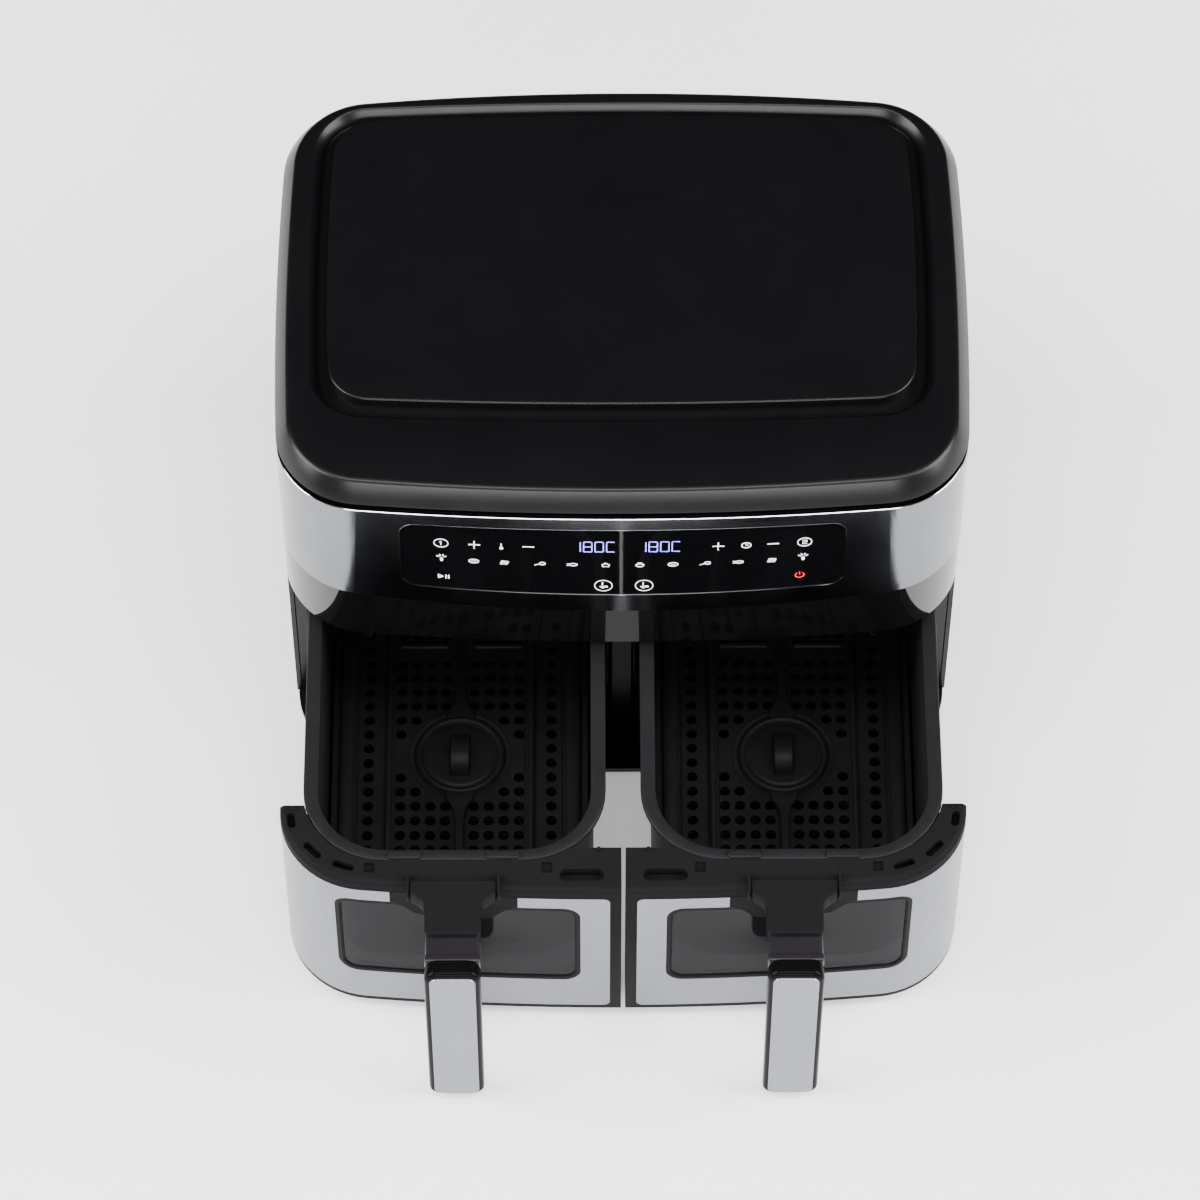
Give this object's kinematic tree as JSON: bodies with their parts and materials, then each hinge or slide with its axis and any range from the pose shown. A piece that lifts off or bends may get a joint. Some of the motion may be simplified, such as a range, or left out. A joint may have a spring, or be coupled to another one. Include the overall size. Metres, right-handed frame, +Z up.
{
  "type": "air fryer",
  "caption": "Countertop air fryer with side-by-side pull-out drawers, lift-out crisper plates, a touch control band and fans over each cooking chamber.",
  "frame": {"origin": "on the table under the middle of the bounding box, drawers standing open as stored", "axes": "+Z up, +Y from the drawers towards the back of the housing, +X to the right of a person facing the drawers"},
  "size_m": [0.39, 0.5034, 0.296],
  "materials": {
    "steel": "fine horizontal brushing",
    "black_gloss": "polished",
    "black_satin": "satin",
    "grey_moulding": "fine texture",
    "dark_glass": "polished, dark tint",
    "clear_glass": "polished",
    "nonstick": "textured non-stick coating",
    "sheet_metal": "plain aluminised sheet",
    "heater_steel": "oxidised tube",
    "plated_wire": "plated",
    "fan_aluminium": "stamped",
    "shaft_steel": "ground",
    "motor_steel": "lacquered",
    "zinc_steel": "zinc plated",
    "circuit_board": "solder mask",
    "display": "display window",
    "white_ceramic": "unglazed",
    "silicone": "silicone",
    "switch_plastic": "moulded",
    "plunger_red": "moulded"
  },
  "bodies": {
    "housing": {"base_tray": "black_satin", "base_screws": "zinc_steel", "rubber_feet": "silicone", "left_side_cover": "black_satin", "right_side_cover": "black_satin", "rear_cover": "black_satin", "cord_gland": "silicone", "top_cover": "black_satin", "top_panel": "black_satin", "front_band": "steel", "control_glass": "dark_glass", "brow_panel": "black_gloss", "front_frame": "black_gloss", "divider": "grey_moulding", "control_board": "circuit_board", "display_modules": "display", "power_board": "circuit_board", "guide_rails": "grey_moulding", "chamber_lamps": "white_ceramic", "lamp_lenses": "clear_glass", "temperature_probes": "plated_wire", "drawer_switches": "switch_plastic", "heater_guards": "plated_wire", "motor_brackets": "zinc_steel", "left_chamber_liner": "sheet_metal", "left_heater": "heater_steel", "left_motor": "motor_steel", "right_chamber_liner": "sheet_metal", "right_heater": "heater_steel", "right_motor": "motor_steel"},
    "left_drawer": {"left_drawer_carrier": "grey_moulding", "left_drawer_skin": "steel", "left_window_glass": "dark_glass", "left_pan": "nonstick", "left_inner_window": "clear_glass", "left_handle_bracket": "grey_moulding", "left_handle_grip": "black_gloss", "left_handle_inlay": "steel"},
    "left_plate": {"left_crisper_plate": "nonstick", "left_lift_tab": "nonstick", "left_plate_feet": "silicone"},
    "left_fan": {"left_fan_shaft": "shaft_steel", "left_hot_fan": "fan_aluminium", "left_cooling_fan": "fan_aluminium"},
    "left_plunger": {"left_switch_plunger": "plunger_red"},
    "right_drawer": {"right_drawer_carrier": "grey_moulding", "right_drawer_skin": "steel", "right_window_glass": "dark_glass", "right_pan": "nonstick", "right_inner_window": "clear_glass", "right_handle_bracket": "grey_moulding", "right_handle_grip": "black_gloss", "right_handle_inlay": "steel"},
    "right_plate": {"right_crisper_plate": "nonstick", "right_lift_tab": "nonstick", "right_plate_feet": "silicone"},
    "right_fan": {"right_fan_shaft": "shaft_steel", "right_hot_fan": "fan_aluminium", "right_cooling_fan": "fan_aluminium"},
    "right_plunger": {"right_switch_plunger": "plunger_red"}
  },
  "joints": [
    {"name": "left_drawer_slide", "type": "slide", "parent": "housing", "child": "left_drawer", "axis": [0, 1, 0], "range_m": [-0.12, 0.16]},
    {"name": "left_plate_lift", "type": "slide", "parent": "left_drawer", "child": "left_plate", "axis": [0, 0, 1], "range_m": [0, 0.1]},
    {"name": "left_fan_spin", "type": "hinge", "parent": "housing", "child": "left_fan", "pos_m": [-0.0945, 0.11525, 0.2], "axis": [0, 0, 1], "continuous": true},
    {"name": "left_switch_press", "type": "slide", "parent": "housing", "child": "left_plunger", "axis": [0, 1, 0], "range_m": [0, 0.0025], "stiffness_N_per_m": 300},
    {"name": "right_drawer_slide", "type": "slide", "parent": "housing", "child": "right_drawer", "axis": [0, 1, 0], "range_m": [-0.12, 0.16]},
    {"name": "right_plate_lift", "type": "slide", "parent": "right_drawer", "child": "right_plate", "axis": [0, 0, 1], "range_m": [0, 0.1]},
    {"name": "right_fan_spin", "type": "hinge", "parent": "housing", "child": "right_fan", "pos_m": [0.0945, 0.11525, 0.2], "axis": [0, 0, 1], "continuous": true},
    {"name": "right_switch_press", "type": "slide", "parent": "housing", "child": "right_plunger", "axis": [0, 1, 0], "range_m": [0, 0.0025], "stiffness_N_per_m": 300}
  ]
}
